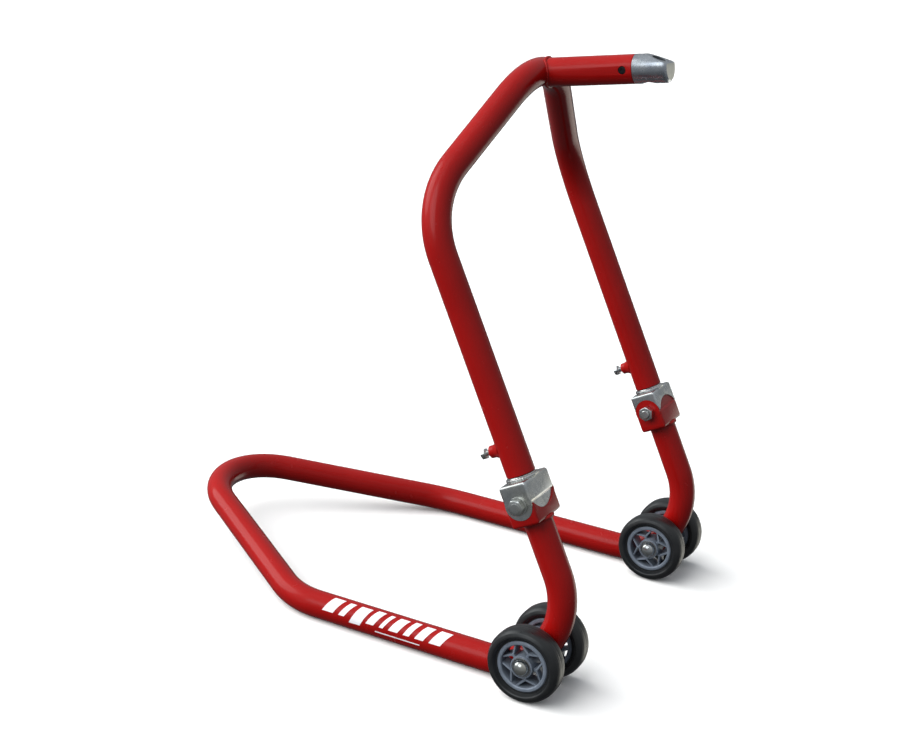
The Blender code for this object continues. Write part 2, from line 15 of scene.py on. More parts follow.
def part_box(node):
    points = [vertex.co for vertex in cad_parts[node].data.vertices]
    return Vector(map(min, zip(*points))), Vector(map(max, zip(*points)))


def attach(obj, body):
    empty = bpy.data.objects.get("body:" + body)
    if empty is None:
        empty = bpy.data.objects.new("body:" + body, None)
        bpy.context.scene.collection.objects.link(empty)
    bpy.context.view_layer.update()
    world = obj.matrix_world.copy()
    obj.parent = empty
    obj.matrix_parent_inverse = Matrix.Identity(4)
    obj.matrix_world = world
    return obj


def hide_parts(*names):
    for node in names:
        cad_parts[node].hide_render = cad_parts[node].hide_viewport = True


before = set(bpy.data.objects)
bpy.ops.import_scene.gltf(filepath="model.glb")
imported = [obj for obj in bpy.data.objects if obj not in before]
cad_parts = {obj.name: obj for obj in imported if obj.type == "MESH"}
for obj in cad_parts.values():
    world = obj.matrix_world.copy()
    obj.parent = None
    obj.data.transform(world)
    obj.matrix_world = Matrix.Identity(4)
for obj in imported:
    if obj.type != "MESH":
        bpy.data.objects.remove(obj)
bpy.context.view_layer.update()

# ---- dimensions --------------------------------------------------------------------------------------

SIDES = {"right": 1, "left": -1}
GAP = 0.0003


def middle(node):
    """The middle of a CAD part's box."""
    low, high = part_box(node)
    return (low + high) / 2


AXLE = middle("axle_right")
HALF_TRACK = AXLE.x
AXLE_Y = AXLE.y
AXLE_Z = AXLE.z

# The main tube, its straight runs' heights and corners, and its bend radii
TUBE_R = 0.019
TUBE_WALL = 0.0025
LEAN = math.radians(27.5)
ARM_FRONT_Z = 0.0202
ARM_REAR_Z = 0.0190
LOWER_BEND_R = 0.098
LOWER_BEND_Y = AXLE_Y - 0.0727
KINK_Y = AXLE_Y - 0.3694
KINK_R = 0.121
HANDLE_Y = AXLE_Y - 0.7264
HANDLE_Z = 0.0865
HANDLE_R = 0.103
SHOULDER_Z = 0.5997
SHOULDER_R = 0.119
APEX_Y = AXLE_Y - 0.1619
APEX_Z = 0.7854
APEX_R = 0.116

# The head: a sloping tube, and the tip with its pin bore
HEAD_SLOPE = math.atan(0.16)
HEAD_REF = Vector((0, AXLE_Y - 0.140, 0.7533))
HEAD_TUBE_START = -0.018
HEAD_TUBE_END = 0.1020
TIP_LENGTH = 0.0462
SPIGOT_R = 0.0162
SPIGOT_END = -0.036
PIN_BORE_R = 0.009
PIN_BORE_TILT = math.radians(14.0)
PIN_BORE_AT = 0.0255
FLAT_START = 0.0150
TIP_SCREW_AT = -0.0127
TIP_SCREW_R = 0.0050

# The clamp: half its outside width and depth, and each half's height
BRACKET_MID = 0.102
BRACKET_X = 0.034
BRACKET_Y = 0.0195
BRACKET_H = 0.028
PLATE = 0.0035
FOLD_R = 0.0042
CORNER_R = 0.0034
SIDE_TAB_R = 0.0188

# The front tab is shown lower than the CAD's, and set back from the wall's face by one small step
FRONT_TAB_HALF = 0.0295
FRONT_TAB_H = 0.0140
TAB_ROOT = 0.004
TAB_STEP = 0.0016

# What stands on the clamp
COLLAR_TOP = BRACKET_H + 0.0048
LEG_END = 0.1352
INNER_TUBE_R = 0.016
INNER_TUBE_BORE_R = 0.0135
INNER_TUBE_TOP = 0.330

# The clamp's bolt, nut and washer
BOLT_R = 0.006
BOLT_HOLE_R = 0.0063
BOLT_FLATS = 0.019
BOLT_HEAD_T = 0.0075
BOLT_STICKS_OUT = 0.013
NUT_T = 0.010
NUT_HOLE_R = 0.0062
WASHER_R = 0.0120
WASHER_T = 0.0022

# The lock boss and screw: their place up the leg, and lengths back from its axis
LOCK_AT = 0.171
BOSS_BORE_R = 0.0044
BOSS_START = 0.0150
BOSS_END = 0.0300
LOCK_SCREW_R = 0.0040
LOCK_SCREW_TIP = 0.0163
LOCK_FLANGE_START = 0.0368
LOCK_FLANGE_END = 0.0379
LOCK_FLANGE_R = 0.0060
LOCK_FLATS = 0.013
LOCK_HEAD_END = 0.0430
LOCK_PITCH = 0.00125

# Wheels: their offset from the middle of a pair, and what sits in them
WHEEL_OFFSET = 0.0387
HUB_HALF_W = 0.0140
HUB_BORE_R = 0.0133
SLEEVE_R = 0.0100
AXLE_HOLE_R = 0.0053
BEARING_R = 0.0130
BEARING_HALF_W = 0.0040
SPOKES = 5

# Weld beads: half their width
SLEEVE_BEAD = 0.0020
BRACKET_BEAD = 0.0026
COLLAR_BEAD = 0.0022
HEAD_BEAD = 0.0022


# ---- materials ---------------------------------------------------------------------------------------


class Paint:
    """A Principled material with helpers for the nodes that vary it over the surface.

    The slot is the kind of material that a shown piece is listed under.
    """

    def __init__(self, name, slot, colour, roughness, metallic=0.0):
        self.mat = bpy.data.materials.new(name)
        self.mat.use_nodes = True
        self.mat["slot"] = slot
        self.tree = self.mat.node_tree
        self.shader = self.tree.nodes["Principled BSDF"]
        self.set("Base Color", (*colour, 1.0))
        self.set("Roughness", roughness)
        self.set("Metallic", metallic)
        self.place = self.node("ShaderNodeTexCoord").outputs["Object"]

    def node(self, kind, **settings):
        made = self.tree.nodes.new(kind)
        for key, value in settings.items():
            setattr(made, key, value)
        return made

    def set(self, socket, value):
        self.shader.inputs[socket].default_value = value

    def link(self, output, target):
        self.tree.links.new(output, target)

    def noise(self, scale, detail=3.0, roughness=0.5, stretch=None):
        """Noise over the surface, 0 to 1; stretch scales its coordinates along X, Y and Z."""
        made = self.node("ShaderNodeTexNoise")
        made.inputs["Scale"].default_value = scale
        made.inputs["Detail"].default_value = detail
        made.inputs["Roughness"].default_value = roughness
        place = self.place
        if stretch:
            mapping = self.node("ShaderNodeMapping")
            mapping.inputs["Scale"].default_value = stretch
            self.link(self.place, mapping.inputs["Vector"])
            place = mapping.outputs["Vector"]
        self.link(place, made.inputs["Vector"])
        return made.outputs["Fac"]

    def ramp(self, factor, stops):
        """A colour ramp through (place, colour) stops; a single number stands for a grey."""
        made = self.node("ShaderNodeValToRGB")
        stops = [(at, c if hasattr(c, "__len__") else (c, c, c)) for at, c in stops]
        points = made.color_ramp.elements
        while len(points) < len(stops):
            points.new(0.5)
        for point, (at, colour) in zip(points, stops):
            point.position = at
            point.color = (*colour, 1.0)
        self.link(factor, made.inputs["Fac"])
        return made.outputs["Color"]

    def mix(self, factor, first, second):
        """Blends two colours or node outputs by a factor."""
        made = self.node("ShaderNodeMix", data_type="RGBA")
        self.link(factor, made.inputs["Factor"])
        for value, socket in ((first, made.inputs[6]), (second, made.inputs[7])):
            if hasattr(value, "links"):
                self.link(value, socket)
            else:
                socket.default_value = (*value, 1.0)
        return made.outputs[2]

    def colour(self, output):
        self.link(output, self.shader.inputs["Base Color"])

    def rough(self, output):
        self.link(output, self.shader.inputs["Roughness"])

    def bump(self, height, strength, distance):
        """Adds relief on top of any relief that is already there."""
        made = self.node("ShaderNodeBump")
        made.inputs["Strength"].default_value = strength
        made.inputs["Distance"].default_value = distance
        self.link(height, made.inputs["Height"])
        normal = self.shader.inputs["Normal"]
        if normal.links:
            self.link(normal.links[0].from_socket, made.inputs["Normal"])
        self.link(made.outputs["Normal"], normal)


def red_paint():
    """Powder coat: slightly clouded and pebbled, with a few darker scuffs."""
    p = Paint("red_powder_coat", "red_paint", (0.28, 0.0032, 0.0027), 0.24)
    cloud = p.noise(9.0, 4.0)
    base = p.ramp(cloud, [(0.3, (0.255, 0.0024, 0.0020)), (0.7, (0.305, 0.0042, 0.0034))])
    scuff = p.ramp(p.noise(140.0, 6.0, 0.65), [(0.66, 0.0), (0.74, 1.0)])
    p.colour(p.mix(scuff, base, (0.23, 0.008, 0.007)))
    p.rough(p.ramp(p.noise(60.0, 5.0), [(0.25, 0.17), (0.75, 0.29)]))
    p.set("Coat Weight", 0.16)
    p.set("Specular IOR Level", 0.22)
    p.set("Coat Roughness", 0.06)
    p.set("Coat IOR", 1.5)
    p.bump(p.noise(520.0, 2.0), 0.10, 0.0004)
    p.bump(p.noise(2600.0, 2.0), 0.05, 0.0001)
    return p.mat


def zinc(name="bright_zinc", low=(0.50, 0.53, 0.54), high=(0.78, 0.80, 0.80), shine=0.16):
    """Zinc plate: a cloudy grey with faint yellow, and fine lines."""
    p = Paint(name, "zinc_plate", high, shine, 1.0)
    cloud = p.noise(70.0, 5.0, 0.6)
    spangle = p.ramp(cloud, [(0.30, low), (0.52, (0.68, 0.70, 0.71)), (0.75, high)])
    tint = p.ramp(p.noise(28.0, 2.0), [(0.42, 0.0), (0.66, 0.4)])
    p.colour(p.mix(tint, spangle, (0.70, 0.68, 0.56)))
    p.rough(p.ramp(p.noise(240.0, 5.0), [(0.25, shine), (0.75, shine + 0.16)]))
    p.bump(p.noise(900.0, 3.0), 0.12, 0.0002)
    p.bump(p.noise(420.0, 2.0, stretch=(1.0, 12.0, 1.0)), 0.08, 0.0002)
    return p.mat


def tip_steel():
    """The turned and milled tip: fine rings round its axis. Its ground end face takes a paler steel, which is
    partly a painted reflection.
    """
    p = Paint("turned_steel", "zinc_plate", (0.62, 0.66, 0.72), 0.2, 1.0)
    cloud = p.noise(90.0, 4.0)
    p.colour(p.ramp(cloud, [(0.3, (0.54, 0.58, 0.64)), (0.7, (0.74, 0.77, 0.80))]))
    p.rough(p.ramp(p.noise(300.0, 4.0), [(0.3, 0.17), (0.7, 0.30)]))
    p.bump(p.noise(160.0, 2.0, stretch=(0.2, 14.0, 2.4)), 0.22, 0.0002)
    return p.mat


def face_steel():
    """Sawn end of the tip: matt, with straight cut lines; its paler, creamier steel is partly a painted
    reflection of bright surroundings.
    """
    # Painted reflection in part: the end face gets a paler, warmer steel than the turned tip it belongs to.
    p = Paint("sawn_steel_painted_reflection", "zinc_plate", (0.80, 0.80, 0.74), 0.45, 1.0)
    lines = p.noise(150.0, 3.0, stretch=(14.0, 0.3, 0.3))
    p.colour(p.ramp(lines, [(0.3, (0.66, 0.66, 0.60)), (0.7, (0.88, 0.88, 0.82))]))
    p.rough(p.ramp(lines, [(0.3, 0.40), (0.7, 0.58)]))
    p.bump(lines, 0.35, 0.0003)
    return p.mat


def shaded_bore_steel():
    """The drilled bore: rough, with the drill's rings, and painted much darker than the tip's steel as shade
    inside the hole.
    """
    # Painted shade: this steel is far darker than the tip's, standing for the shade inside the hole.
    p = Paint("drilled_steel_painted_shade", "zinc_plate", (0.20, 0.21, 0.22), 0.35, 1.0)
    rings = p.noise(260.0, 2.0, stretch=(0.2, 0.2, 9.0))
    p.colour(p.ramp(rings, [(0.3, (0.15, 0.16, 0.17)), (0.7, (0.26, 0.27, 0.28))]))
    p.rough(p.ramp(rings, [(0.3, 0.28), (0.7, 0.45)]))
    p.bump(rings, 0.3, 0.0002)
    return p.mat


def rubber():
    """Tyre rubber with a little dust."""
    p = Paint("tyre_rubber", "tyre_rubber", (0.010, 0.011, 0.012), 0.42)
    dust = p.ramp(p.noise(55.0, 6.0, 0.6), [(0.45, 0.0), (0.75, 0.5)])
    p.colour(p.mix(dust, (0.0075, 0.0085, 0.0095), (0.022, 0.022, 0.022)))
    p.rough(p.ramp(p.noise(120.0, 4.0), [(0.3, 0.27), (0.7, 0.42)]))
    p.set("Specular IOR Level", 0.7)
    p.bump(p.noise(1500.0, 3.0), 0.16, 0.0002)
    return p.mat


def rim_plastic():
    """Moulded blue-grey plastic with a slight metal flake."""
    p = Paint("rim_plastic", "rim_plastic", (0.17, 0.20, 0.25), 0.36, 0.25)
    p.colour(p.ramp(p.noise(80.0, 4.0), [(0.3, (0.145, 0.172, 0.215)), (0.7, (0.20, 0.235, 0.29))]))
    p.rough(p.ramp(p.noise(300.0, 3.0), [(0.3, 0.30), (0.7, 0.44)]))
    p.bump(p.noise(2200.0, 2.0), 0.10, 0.0001)
    return p.mat


def bearing_steel():
    """Ground steel of the wheel bearings."""
    p = Paint("bearing_steel", "bearing_steel", (0.50, 0.51, 0.53), 0.28, 1.0)
    p.colour(p.ramp(p.noise(150.0, 3.0), [(0.3, (0.40, 0.41, 0.43)), (0.7, (0.58, 0.59, 0.61))]))
    p.rough(p.ramp(p.noise(400.0, 3.0), [(0.3, 0.22), (0.7, 0.38)]))
    p.bump(p.noise(1400.0, 2.0), 0.10, 0.0001)
    return p.mat


def black_oxide():
    """Blackened steel of the set screw in the head."""
    p = Paint("black_oxide", "bearing_steel", (0.012, 0.012, 0.013), 0.4, 0.6)
    p.colour(p.ramp(p.noise(300.0, 3.0), [(0.3, (0.008, 0.008, 0.009)), (0.7, (0.022, 0.022, 0.024))]))
    p.bump(p.noise(1600.0, 2.0), 0.15, 0.0001)
    return p.mat


def vinyl():
    """White film of the bars on the right arm."""
    p = Paint("white_vinyl", "red_paint", (0.80, 0.80, 0.84), 0.35)
    p.colour(p.ramp(p.noise(40.0, 3.0), [(0.3, (0.74, 0.74, 0.79)), (0.7, (0.84, 0.84, 0.88))]))
    p.rough(p.ramp(p.noise(200.0, 3.0), [(0.3, 0.28), (0.7, 0.42)]))
    p.bump(p.noise(700.0, 2.0), 0.06, 0.0001)
    return p.mat


RED = red_paint()
ZINC = zinc()
# Painted reflection in part: the cap's warm tint stands for the ground reflected in the polished dome.
CAP = zinc("polished_cap_painted_reflection", (0.56, 0.54, 0.47), (0.82, 0.81, 0.76), 0.08)
TIP = tip_steel()
FACE = face_steel()
BORE = shaded_bore_steel()
RUBBER = rubber()
RIM = rim_plastic()
BEARING = bearing_steel()
BLACK = black_oxide()
VINYL = vinyl()


# ---- mesh helpers ------------------------------------------------------------------------------------


def skin(rings, along=False, caps=False):
    """A mesh over closed rings of points; along closes it from the last ring to the first.

    caps closes the first and last ring with a face each.
    """
    count = len(rings[0])
    faces = []
    for i in range(len(rings) if along else len(rings) - 1):
        a = i * count
        b = (i + 1) % len(rings) * count
        for j in range(count):
            k = (j + 1) % count
            faces.append((a + j, a + k, b + k, b + j))
    if caps:
        faces.append(tuple(reversed(range(count))))
        faces.append(tuple((len(rings) - 1) * count + j for j in range(count)))
    mesh = bpy.data.meshes.new("skin")
    mesh.from_pydata([p for ring in rings for p in ring], [], faces)
    return tidy(mesh)


def tidy(mesh):
    """Welds coincident points and turns every face outwards."""
    shape = bmesh.new()
    shape.from_mesh(mesh)
    bmesh.ops.remove_doubles(shape, verts=shape.verts, dist=1e-6)
    bmesh.ops.dissolve_degenerate(shape, edges=shape.edges, dist=1e-7)
    bmesh.ops.recalc_face_normals(shape, faces=shape.faces)
    shape.to_mesh(mesh)
    shape.free()
    return mesh


def soften(profile, closed):
    """Rounds the corners of (r, z, corner radius) points with short arcs."""
    arc_steps = 4
    most_of_an_edge = 0.48
    out = []
    count = len(profile)
    for i, (r, z, radius) in enumerate(profile):
        here = Vector((r, z))
        inner = closed or 0 < i < count - 1
        if not radius or not inner:
            out.append((r, z))
            continue
        before = Vector(profile[i - 1][:2]) - here
        after = Vector(profile[(i + 1) % count][:2]) - here
        half = before.angle(after) / 2
        longest = most_of_an_edge * min(before.length, after.length)
        reach = min(radius / math.tan(half), longest)
        start = here + before.normalized() * reach
        end = here + after.normalized() * reach
        for step in range(arc_steps + 1):
            t = step / arc_steps
            point = start * (1 - t) ** 2 + here * 2 * t * (1 - t) + end * t * t
            out.append((point.x, point.y))
    return out


def turned(profile, segments, closed=True):
    """A body turned about Z from (r, z, corner radius) points.

    closed says that the points go round the section; otherwise they run from the axis to the axis.
    """
    points = soften(profile, closed)
    if not closed:
        return turned_open(points, segments)
    rings = []
    for i in range(segments):
        angle = 2 * math.pi * i / segments
        rings.append([Vector((r * math.cos(angle), r * math.sin(angle), z)) for r, z in points])
    return skin(rings, along=True)


def turned_open(points, segments):
    """The same from a line that starts and ends on the axis."""
    rings = []
    for r, z in points:
        if r < 1e-6:
            rings.append([Vector((0, 0, z))] * segments)
            continue
        rings.append([Vector((r * math.cos(2 * math.pi * i / segments),
                              r * math.sin(2 * math.pi * i / segments), z)) for i in range(segments)])
    return skin(rings)


def rounded_path(corners, radii):
    """Points along straight runs between corners, each inner corner bent to its radius."""
    degrees_per_step = 3.0
    points = [corners[0]]
    for before, corner, after, radius in zip(corners, corners[1:], corners[2:], radii):
        to_before = (before - corner).normalized()
        to_after = (after - corner).normalized()
        inside = to_before.angle(to_after)
        turn = math.pi - inside
        start = corner + to_before * radius / math.tan(inside / 2)
        centre = corner + (to_before + to_after).normalized() * radius / math.sin(inside / 2)
        axis = (start - centre).cross(-to_before).normalized()
        steps = max(3, round(math.degrees(turn) / degrees_per_step))
        for i in range(steps + 1):
            points.append(centre + Matrix.Rotation(turn * i / steps, 3, axis) @ (start - centre))
    points.append(corners[-1])
    return points


def frames(points):
    """(point, side, other side) along a path, without twist."""
    out = []
    side = None
    for i, point in enumerate(points):
        ahead = points[min(i + 1, len(points) - 1)] - points[max(i - 1, 0)]
        ahead = ahead.normalized()
        side = ahead.orthogonal() if side is None else side - ahead * side.dot(ahead)
        side = side.normalized()
        out.append((point, side, ahead.cross(side)))
    return out


def ring(point, side, other, radius, sides):
    """Points round a circle in the plane of two directions."""
    out = []
    for i in range(sides):
        angle = 2 * math.pi * i / sides
        out.append(point + side * radius * math.cos(angle) + other * radius * math.sin(angle))
    return out


def pipe(points):
    """An open-ended main tube with its wall, slightly chamfered outside at the cut ends."""
    spine = frames(points)
    sides = 64
    edge = 0.0005
    outer = [ring(p, s, o, TUBE_R, sides) for p, s, o in spine]
    inner = [ring(p, s, o, TUBE_R - TUBE_WALL, sides) for p, s, o in spine]
    start, end = spine[0], spine[-1]
    ahead = (points[1] - points[0]).normalized() * edge
    back = (points[-2] - points[-1]).normalized() * edge
    outer[0] = ring(start[0] + ahead, start[1], start[2], TUBE_R, sides)
    outer[-1] = ring(end[0] + back, end[1], end[2], TUBE_R, sides)
    lip = [ring(*start, TUBE_R - edge, sides)] + outer + [ring(*end, TUBE_R - edge, sides)]
    return skin(lip + inner[::-1], along=True)


def bead(points, radius, centre, ripple=0.10):
    """A weld bead along a closed line about a centre, with its ripples."""
    pitch = 0.0032
    sides = 12
    count = len(points)
    travelled = 0.0
    rings = []
    for i, point in enumerate(points):
        ahead = (points[(i + 1) % count] - points[i - 1]).normalized()
        side = point - centre
        side = (side - ahead * side.dot(ahead)).normalized()
        phase = travelled / pitch * 2 * math.pi
        wave = 1 + ripple * math.sin(phase) + 0.05 * math.sin(phase * 0.37 + 1.3)
        rings.append(ring(point, side, ahead.cross(side), radius * wave, sides))
        travelled += (points[(i + 1) % count] - point).length
    return skin(rings, along=True)


def solid(mesh):
    """A passing object, for modifiers to work on."""
    obj = bpy.data.objects.new("tool", mesh)
    bpy.context.scene.collection.objects.link(obj)
    return obj


def carve(mesh, *steps):
    """The mesh after boolean steps (operation, other mesh)."""
    target = solid(mesh)
    tools = []
    for operation, other in steps:
        tool = solid(other)
        tools.append(tool)
        modifier = target.modifiers.new(operation, "BOOLEAN")
        modifier.operation = operation
        modifier.object = tool
        modifier.solver = "EXACT"
    return applied(target, tools)


def applied(target, tools=()):
    """The object's mesh after its modifiers; the object and its tools are removed."""
    bpy.context.view_layer.update()
    graph = bpy.context.evaluated_depsgraph_get()
    mesh = bpy.data.meshes.new_from_object(target.evaluated_get(graph))
    for obj in (target, *tools):
        bpy.data.objects.remove(obj, do_unlink=True)
    return mesh


def bevelled(mesh, width, segments=2, angle=40):
    """The mesh with its edges rounded where they turn by more than an angle in degrees."""
    target = solid(mesh)
    modifier = target.modifiers.new("Bevel", "BEVEL")
    modifier.width = width
    modifier.segments = segments
    modifier.limit_method = "ANGLE"
    modifier.angle_limit = math.radians(angle)
    modifier.use_clamp_overlap = True
    return applied(target)


def block(low, high, edges=()):
    """A box with edges rounded in turn: each (test, width) picks edges by a test on their two ends."""
    low = Vector(low)
    high = Vector(high)
    shape = bmesh.new()
    bmesh.ops.create_cube(shape, size=1.0)
    bmesh.ops.scale(shape, vec=high - low, verts=shape.verts)
    bmesh.ops.translate(shape, vec=(low + high) / 2, verts=shape.verts)
    for test, width in edges:
        chosen = [e for e in shape.edges if test(e.verts[0].co, e.verts[1].co)]
        bmesh.ops.bevel(shape, geom=chosen, offset=width, segments=5, profile=0.5, affect="EDGES")
    mesh = bpy.data.meshes.new("block")
    shape.to_mesh(mesh)
    shape.free()
    return mesh


def prism(outline, low, high):
    """A flat outline in XY, raised along Z from low to high."""
    return skin([[Vector((x, y, low)) for x, y in outline], [Vector((x, y, high)) for x, y in outline]],
                caps=True)


def rod(radius, low, high, segments=48):
    """A plain cylinder along Z."""
    return turned([(0, low, 0), (radius, low, 0), (radius, high, 0), (0, high, 0)], segments, closed=False)


def moved(mesh, matrix):
    """A moved copy, turned right side out again where the matrix mirrors it."""
    mesh = mesh.copy()
    mesh.transform(matrix)
    return tidy(mesh) if matrix.determinant() < 0 else mesh


def merged(*meshes):
    """Several meshes as one, without joining their surfaces."""
    shape = bmesh.new()
    for mesh in meshes:
        shape.from_mesh(mesh)
    out = bpy.data.meshes.new("merged")
    shape.to_mesh(out)
    shape.free()
    return out


def piece(name, mesh, mat, body, *nodes, matrix=None, smooth=35):
    """A shown piece: its mesh in the model's frame, riding on a body and standing for CAD nodes."""
    if matrix is not None:
        mesh = moved(mesh, matrix)
    mesh.materials.clear()
    mesh.materials.append(mat)
    mesh.shade_smooth()
    mesh.set_sharp_from_angle(angle=math.radians(smooth))
    obj = bpy.data.objects.new(name, mesh)
    bpy.context.scene.collection.objects.link(obj)
    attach(obj, body)
    if nodes:
        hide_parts(*nodes)
    return obj


# ---- where things are --------------------------------------------------------------------------------

LEG_UP = Vector((0, -math.sin(LEAN), math.cos(LEAN)))
LEG_OUT = Vector((0, math.cos(LEAN), math.sin(LEAN)))
FOOT = Vector((HALF_TRACK, LOWER_BEND_Y, ARM_FRONT_Z + LOWER_BEND_R)) + LEG_OUT * LOWER_BEND_R
ALONG_X = Matrix.Rotation(math.pi / 2, 4, "Y")


def leg_point(along):
    """A point on the right leg's axis."""
    return FOOT + LEG_UP * along


def leg_frame(side, along, half_turn=True):
    """A place on a leg, its axis as Z; with the left one's half turn, X is outboard on both."""
    point = leg_point(along)
    point.x *= SIDES[side]
    turn = math.pi if half_turn and side == "left" else 0.0
    return Matrix.Translation(point) @ Matrix.Rotation(LEAN, 4, "X") @ Matrix.Rotation(turn, 4, "Z")


def wheel_frame(side, offset):
    """The axle as Z, at an offset from the middle of a side's pair of wheels."""
    centre = Vector((SIDES[side] * HALF_TRACK + offset, AXLE_Y, AXLE_Z))
    return Matrix.Translation(centre) @ ALONG_X


def head_frame(along):
    """The head's axis as Z, pointing forward, and its upper side as Y."""
    forward = Vector((0, math.cos(HEAD_SLOPE), math.sin(HEAD_SLOPE)))
    spin = Matrix(((-1, 0, 0), (0, 0, 1), (0, 1, 0))).to_4x4()
    return Matrix.Translation(HEAD_REF + forward * along) @ Matrix.Rotation(HEAD_SLOPE, 4, "X") @ spin


def mirrored(corners):
    """A path's corners on the right, and the same ones back on the left."""
    return corners + [Vector((-c.x, c.y, c.z)) for c in reversed(corners) if c.x]


def base_path():
    """Right upright, lower bend, arm, handle bend and back along the left."""
    corner = leg_point((ARM_FRONT_Z - FOOT.z) / LEG_UP.z)
    top = leg_point(BRACKET_MID - BRACKET_H - GAP)
    kink = Vector((HALF_TRACK, KINK_Y, ARM_REAR_Z))
    handle = Vector((0, HANDLE_Y, HANDLE_Z))
    return rounded_path(mirrored([top, corner, kink, handle]),
                        [LOWER_BEND_R, KINK_R, HANDLE_R, KINK_R, LOWER_BEND_R])


def upper_path():
    """Right leg, shoulder, apex and back down the left."""
    shoulder = leg_point((SHOULDER_Z - FOOT.z) / LEG_UP.z)
    apex = Vector((0, APEX_Y, APEX_Z))
    return rounded_path(mirrored([leg_point(LEG_END), shoulder, apex]), [SHOULDER_R, APEX_R, SHOULDER_R])


def closest(point, path):
    """Distance from a point to a path of straight pieces."""
    best = math.inf
    for a, b in zip(path, path[1:]):
        run = b - a
        t = min(1.0, max(0.0, (point - a).dot(run) / run.length_squared))
        best = min(best, (a + run * t - point).length)
    return best


def joint_line(matrix, radius, path, start, end, count):
    """Where a round body along a frame's Z meets the tube that follows a path.

    Along each line of the body's side, the place is halved in between start, which is outside the
    tube, and end, which is inside.
    """
    near = [p for p in path if (p - matrix.translation).length < 0.12]
    out = []
    for i in range(count):
        angle = 2 * math.pi * i / count
        edge = Vector((radius * math.cos(angle), radius * math.sin(angle), 0))
        outside, inside = start, end
        for _ in range(18):
            half = (outside + inside) / 2
            if closest(matrix @ (edge + Vector((0, 0, half))), near) < TUBE_R:
                inside = half
            else:
                outside = half
        out.append(matrix @ (edge + Vector((0, 0, inside))))
    return out


# ---- base --------------------------------------------------------------------------------------------


def make_base():
    """The bent tube, and on each side the axle sleeve and the welds."""
    path = base_path()
    line_points = 72
    rim_points = 120
    piece("base_tube", pipe(path), RED, "base", "base_frame")
    for side in SIDES:
        reach = WHEEL_OFFSET - HUB_HALF_W - GAP
        sleeve = turned([
            (AXLE_HOLE_R, reach, 0), (SLEEVE_R, reach, 0.0006), (SLEEVE_R, -reach, 0.0006),
            (AXLE_HOLE_R, -reach, 0),
        ], 48)
        piece(f"sleeve_{side}", sleeve, RED, "base", f"axle_sleeve_{side}", matrix=wheel_frame(side, 0))
        for end in (1, -1):
            at = wheel_frame(side, 0) @ Matrix.Rotation(0.0 if end > 0 else math.pi, 4, "X")
            line = joint_line(at, SLEEVE_R, path, 0.03, 0.0, line_points)
            centre = at @ Vector((0, 0, 0.017))
            where = "outboard" if end * SIDES[side] > 0 else "inboard"
            piece(f"sleeve_weld_{side}_{where}", bead(line, SLEEVE_BEAD, centre), RED, "base", smooth=60)
        foot = leg_frame(side, BRACKET_MID - BRACKET_H)
        line = ring(foot.translation, Vector((1, 0, 0)), LEG_OUT, TUBE_R + 0.0006, rim_points)
        weld = bead(line, BRACKET_BEAD, foot.translation)
        piece(f"bracket_weld_{side}", weld, RED, "base", smooth=60)


# ---- wheels ------------------------------------------------------------------------------------------


def both_faces(half):
    """A section's points on one face of a wheel part, and the same mirrored on the other."""
    return half + [(r, -z, corner) for r, z, corner in reversed(half)]


def tyre_mesh():
    """A solid tyre: seat, raised side band, round shoulder, and a crown with a fine mould line."""
    return turned(both_faces([
        (0.0347, 0.0112, 0), (0.0372, 0.0112, 0.0004),
        (0.0392, 0.0156, 0.0006), (0.0405, 0.0165, 0.0009), (0.0425, 0.0163, 0.0010),
        (0.0462, 0.0147, 0.004), (0.0488, 0.0108, 0.004), (0.0498, 0.0065, 0.004),
        (0.0500, 0.0022, 0.001), (0.04985, 0.0003, 0.0001),
    ]), 96)


def spoke_outline():
    """A forked spoke along +X, from the hub to the ring."""
    root, fork, end = 0.0118, 0.0188, 0.0300
    spread = math.radians(28.5)
    stem, arm = 0.0017, 0.00115
    tip = Vector((end * math.cos(spread), end * math.sin(spread)))
    node = Vector((fork, 0))
    run = (tip - node).normalized()
    side = Vector((-run.y, run.x)) * arm
    crotch = node + Vector((arm / math.sin(run.angle(Vector((1, 0)))), 0))
    upper = [Vector((root, stem * 1.25)), Vector((fork - 0.0008, stem)), tip + side, tip - side]
    lower = [Vector((p.x, -p.y)) for p in reversed(upper)]
    return [(p.x, p.y) for p in upper + [crotch] + lower]


def rim_mesh():
    """The moulded centre: a ring in the tyre, a hub round the bearings, and spokes between them."""
    spoke_half_w = 0.0095
    inner_r = 0.0288
    outer_ring = turned(both_faces([
        (inner_r, 0.0115, 0.0006), (0.0302, 0.0125, 0.0006),
        (0.0332, 0.0125, 0.0006), (0.0345, 0.0112, 0.0004),
    ]) + [(inner_r, 0, 0)], 96)
    hub = turned(both_faces([
        (HUB_BORE_R, HUB_HALF_W, 0), (0.0148, HUB_HALF_W, 0.0005), (0.0152, 0.0090, 0),
    ]), 64)
    spoke = bevelled(prism(spoke_outline(), -spoke_half_w, spoke_half_w), 0.0005)
    spokes = [moved(spoke, Matrix.Rotation(2 * math.pi * i / SPOKES, 4, "Z")) for i in range(SPOKES)]
    return merged(outer_ring, hub, *spokes)


def bearing_mesh():
    """A sealed bearing: inner race, recessed seal and outer race."""
    seal = BEARING_HALF_W - 0.0005
    return turned(both_faces([
        (AXLE_HOLE_R, BEARING_HALF_W, 0.0003), (0.0075, BEARING_HALF_W, 0.0002),
        (0.0077, seal, 0.0001), (0.0112, seal, 0.0001),
        (0.0114, BEARING_HALF_W, 0.0002), (BEARING_R, BEARING_HALF_W, 0.0004),
    ]), 48)


